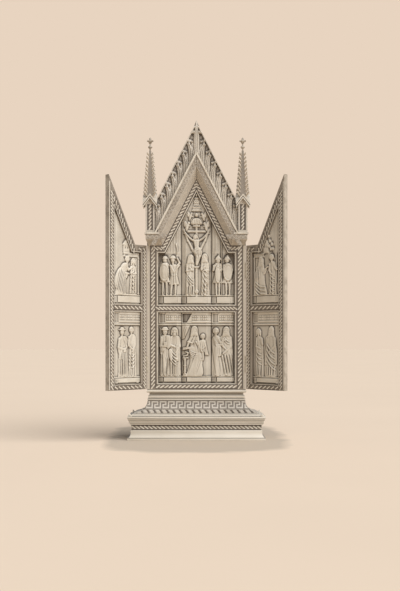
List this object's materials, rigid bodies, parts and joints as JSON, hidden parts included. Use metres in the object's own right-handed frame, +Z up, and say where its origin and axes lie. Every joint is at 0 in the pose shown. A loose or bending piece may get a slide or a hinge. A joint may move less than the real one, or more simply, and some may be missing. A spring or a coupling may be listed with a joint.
{
  "type": "triptych altarpiece",
  "caption": "Small gabled house altar of carved bone reliefs in an inlaid wooden case, with hinged wings, a leafy crest and pinnacles, on a moulded base.",
  "frame": {"origin": "centre of the plinth's underside, the face that the altarpiece stands on", "axes": "+Z up, the carved front faces -Y, +X to the viewer's right, the wings standing open at rest"},
  "size_m": [0.264, 0.1123, 0.4779],
  "materials": {
    "bone": "carved bone, worn smooth, with brown in its hollows",
    "frame_wood": "dark wood with strips of bone and dark wood let in flush, waxed",
    "moulded_wood": "pale carved wood, waxed",
    "brass": "dulled brass"
  },
  "bodies": {
    "altarpiece": {"plinth": "moulded_wood", "pedestal": "moulded_wood", "corner_leaf_1": "bone", "corner_leaf_2": "bone", "corner_leaf_3": "bone", "corner_leaf_4": "bone", "case": "frame_wood", "plaque_lower_left": "bone", "plaque_lower_middle": "bone", "plaque_lower_right": "bone", "plaque_upper_left": "bone", "plaque_upper_middle": "bone", "plaque_upper_right": "bone", "crest": "moulded_wood", "left_raking_cornice": "moulded_wood", "left_level_cornice": "moulded_wood", "left_pier": "moulded_wood", "left_canopy": "moulded_wood", "left_spire": "moulded_wood", "left_finial": "bone", "left_hinge_pin_1": "brass", "left_hinge_pin_2": "brass", "right_raking_cornice": "moulded_wood", "right_level_cornice": "moulded_wood", "right_pier": "moulded_wood", "right_canopy": "moulded_wood", "right_spire": "moulded_wood", "right_finial": "bone", "right_hinge_pin_1": "brass", "right_hinge_pin_2": "brass"},
    "left_wing": {"left_wing": "frame_wood", "left_wing_plaque_lower": "bone", "left_wing_plaque_upper": "bone", "left_hinge_leaf_1": "brass", "left_hinge_leaf_2": "brass"},
    "right_wing": {"right_wing": "frame_wood", "right_wing_plaque_lower": "bone", "right_wing_plaque_upper": "bone", "right_hinge_leaf_1": "brass", "right_hinge_leaf_2": "brass"}
  },
  "joints": [
    {"name": "left_wing_hinge", "type": "hinge", "parent": "altarpiece", "child": "left_wing", "pos_m": [-0.07425, -0.0162, 0.182], "axis": [0, 0, 1], "range_deg": [-45, 135]},
    {"name": "right_wing_hinge", "type": "hinge", "parent": "altarpiece", "child": "right_wing", "pos_m": [0.07425, -0.0162, 0.182], "axis": [0, 0, -1], "range_deg": [-45, 135]}
  ]
}
